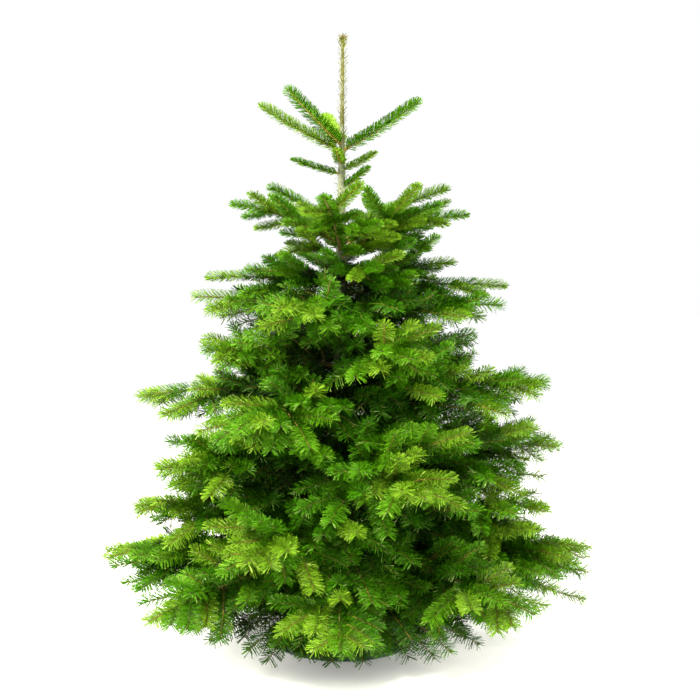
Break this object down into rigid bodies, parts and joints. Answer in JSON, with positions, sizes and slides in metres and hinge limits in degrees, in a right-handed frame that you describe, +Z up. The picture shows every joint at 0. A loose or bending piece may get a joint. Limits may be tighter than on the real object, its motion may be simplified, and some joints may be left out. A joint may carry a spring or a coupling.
{
  "type": "christmas tree",
  "caption": "Undecorated cut fir tree with tiered boughs of needle sprays and a bare leader, clamped in a plain round stand.",
  "frame": {"origin": "centre of the stand's flat underside, on the floor", "axes": "+Z up along the trunk, +X to the right and -Y to the front, the side the picture shows"},
  "size_m": [1.3236, 1.1531, 1.64],
  "materials": {
    "bark": "rough grey-brown bark",
    "needles": "fresh green needles with a waxy sheen",
    "stand_plastic": "dark green satin plastic",
    "screw_steel": "zinc-plated steel"
  },
  "bodies": {
    "root": {"trunk": "bark", "stand_base": "stand_plastic", "clamp_screw_1": "screw_steel", "clamp_screw_2": "screw_steel", "clamp_screw_3": "screw_steel", "tier9_bough_1": "bark", "tier9_bough_2": "bark", "tier9_bough_3": "bark", "tier9_bough_4": "bark", "tier9_bough_5": "bark", "tier9_bough_6": "bark", "tier9_bough_7": "bark", "tier1_foliage_1": "needles", "tier1_foliage_2": "needles", "tier1_foliage_3": "needles", "tier1_foliage_4": "needles", "tier2_foliage_1": "needles", "tier2_foliage_2": "needles", "tier2_foliage_3": "needles", "tier2_foliage_4": "needles", "tier2_foliage_5": "needles", "tier3_foliage_1": "needles", "tier3_foliage_2": "needles", "tier3_foliage_3": "needles", "tier3_foliage_4": "needles", "tier4_foliage_1": "needles", "tier4_foliage_2": "needles", "tier4_foliage_3": "needles", "tier4_foliage_4": "needles", "tier4_foliage_5": "needles", "tier5_foliage_1": "needles", "tier5_foliage_2": "needles", "tier5_foliage_3": "needles", "tier5_foliage_4": "needles", "tier6_foliage_1": "needles", "tier6_foliage_2": "needles", "tier6_foliage_3": "needles", "tier6_foliage_4": "needles", "tier6_foliage_5": "needles", "tier7_foliage_1": "needles", "tier7_foliage_2": "needles", "tier7_foliage_3": "needles", "tier7_foliage_4": "needles", "tier7_foliage_5": "needles", "tier8_foliage_1": "needles", "tier8_foliage_2": "needles", "tier8_foliage_3": "needles", "tier8_foliage_4": "needles", "tier8_foliage_5": "needles", "tier9_foliage_1": "needles", "tier9_foliage_2": "needles", "tier9_foliage_3": "needles", "tier9_foliage_4": "needles", "tier9_foliage_5": "needles", "tier9_foliage_6": "needles", "tier9_foliage_7": "needles", "small_twig_1": "needles", "small_twig_2": "needles", "small_twig_3": "needles", "small_twig_4": "needles"}
  },
  "joints": []
}
